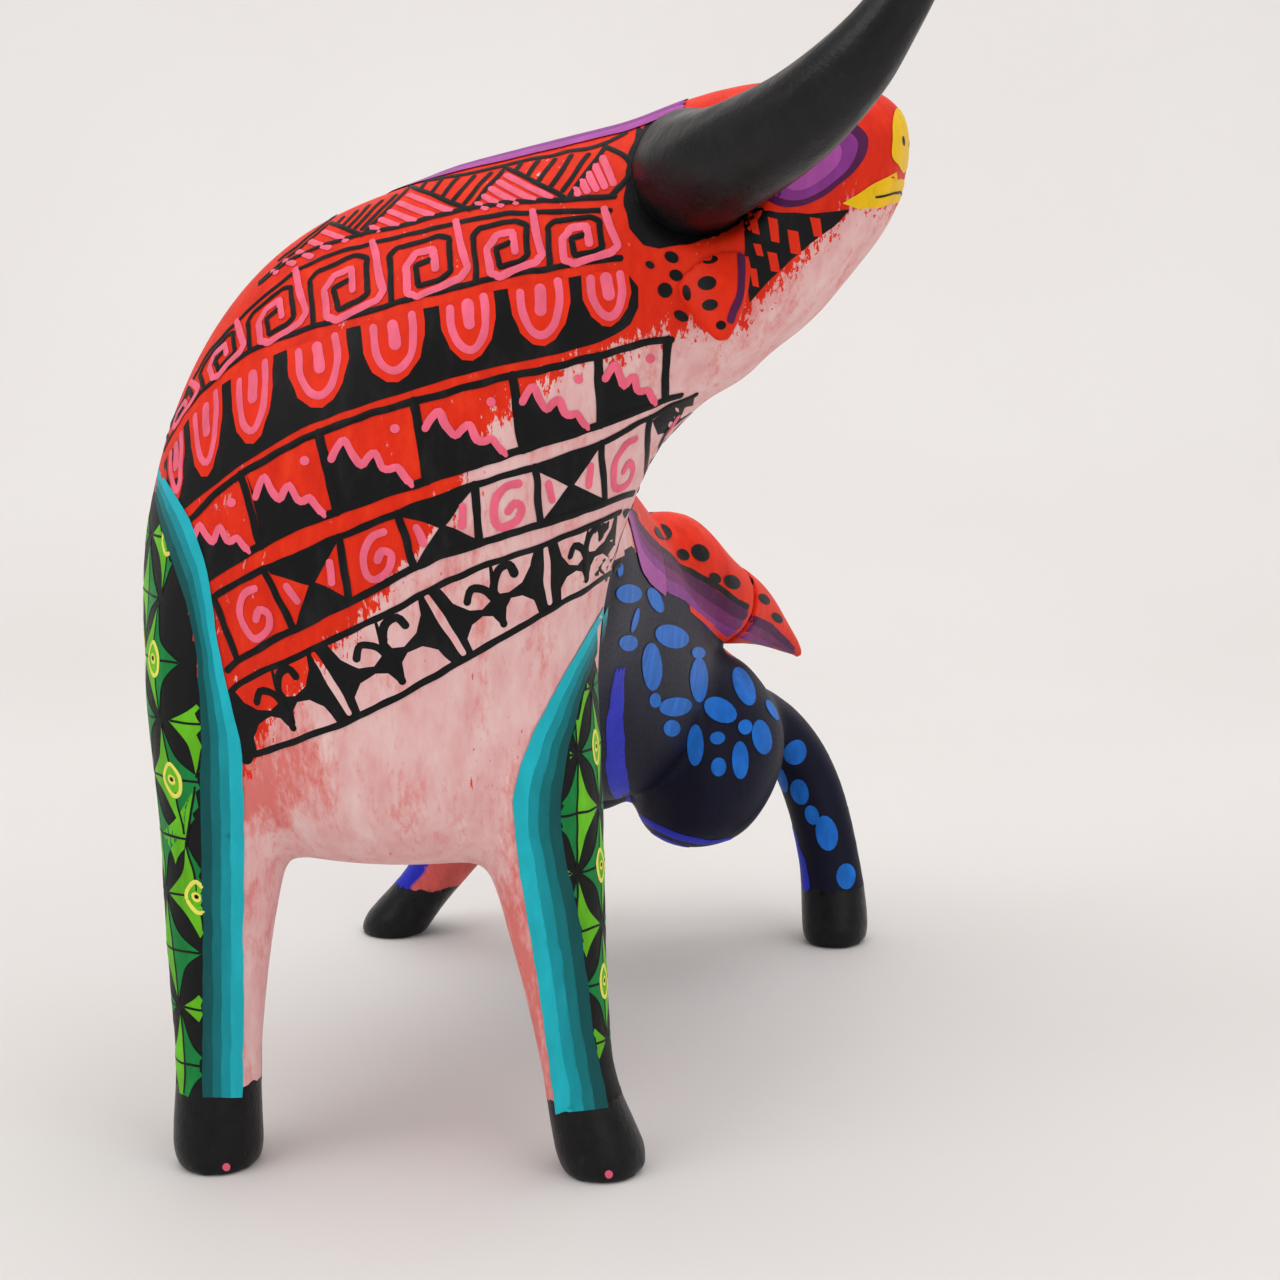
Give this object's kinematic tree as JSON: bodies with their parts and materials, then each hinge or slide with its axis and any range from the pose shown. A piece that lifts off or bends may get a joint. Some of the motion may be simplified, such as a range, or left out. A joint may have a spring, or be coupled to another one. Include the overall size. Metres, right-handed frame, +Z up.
{
  "type": "alebrije figure",
  "caption": "Carved and hand-painted wooden bull figure with turned, raised head, crouched hindquarters and plug-in horns and tail.",
  "frame": {"origin": "bottom centre of the whole figure's bounding box, on the plane the hooves stand on", "axes": "+Z up, the bull faces -Y, its left side is +X"},
  "size_m": [0.1756, 0.2196, 0.2545],
  "materials": {
    "painted_body": "painted in matte red, pink and black bands, with green, teal and blue limbs",
    "painted_head": "painted in matte red with purple, black, yellow and pink",
    "painted_horn": "painted satin black over lengthwise carving strokes",
    "painted_ear": "painted in matte red with black spots and a purple rim",
    "painted_tail": "painted in matte red with black patches and a purple stripe",
    "bare_wood": "bare pale softwood"
  },
  "bodies": {
    "figure": {"torso": "painted_body", "head": "painted_head", "front_leg_right": "painted_body", "front_leg_left": "painted_body", "rear_leg_right": "painted_body", "rear_leg_left": "painted_body", "neck_dowel": "bare_wood", "front_dowel_right": "bare_wood", "front_dowel_left": "bare_wood", "rear_dowel_right": "bare_wood", "rear_dowel_left": "bare_wood", "ear_right": "painted_ear", "ear_left": "painted_ear", "ear_peg_right": "bare_wood", "ear_peg_left": "bare_wood"},
    "right_horn": {"horn_right": "painted_horn", "horn_peg_right": "bare_wood"},
    "left_horn": {"horn_left": "painted_horn", "horn_peg_left": "bare_wood"},
    "tail_piece": {"tail": "painted_tail", "tail_peg": "bare_wood"}
  },
  "joints": [
    {"name": "right_horn_slide", "type": "slide", "parent": "figure", "child": "right_horn", "axis": [0.4447, -0.8893, 0.1067], "range_m": [0, 0.018]},
    {"name": "left_horn_slide", "type": "slide", "parent": "figure", "child": "left_horn", "axis": [0.0802, 0.9911, 0.1067], "range_m": [0, 0.018]},
    {"name": "tail_slide", "type": "slide", "parent": "figure", "child": "tail_piece", "axis": [0.3501, 0.8803, -0.3201], "range_m": [0, 0.018]}
  ]
}
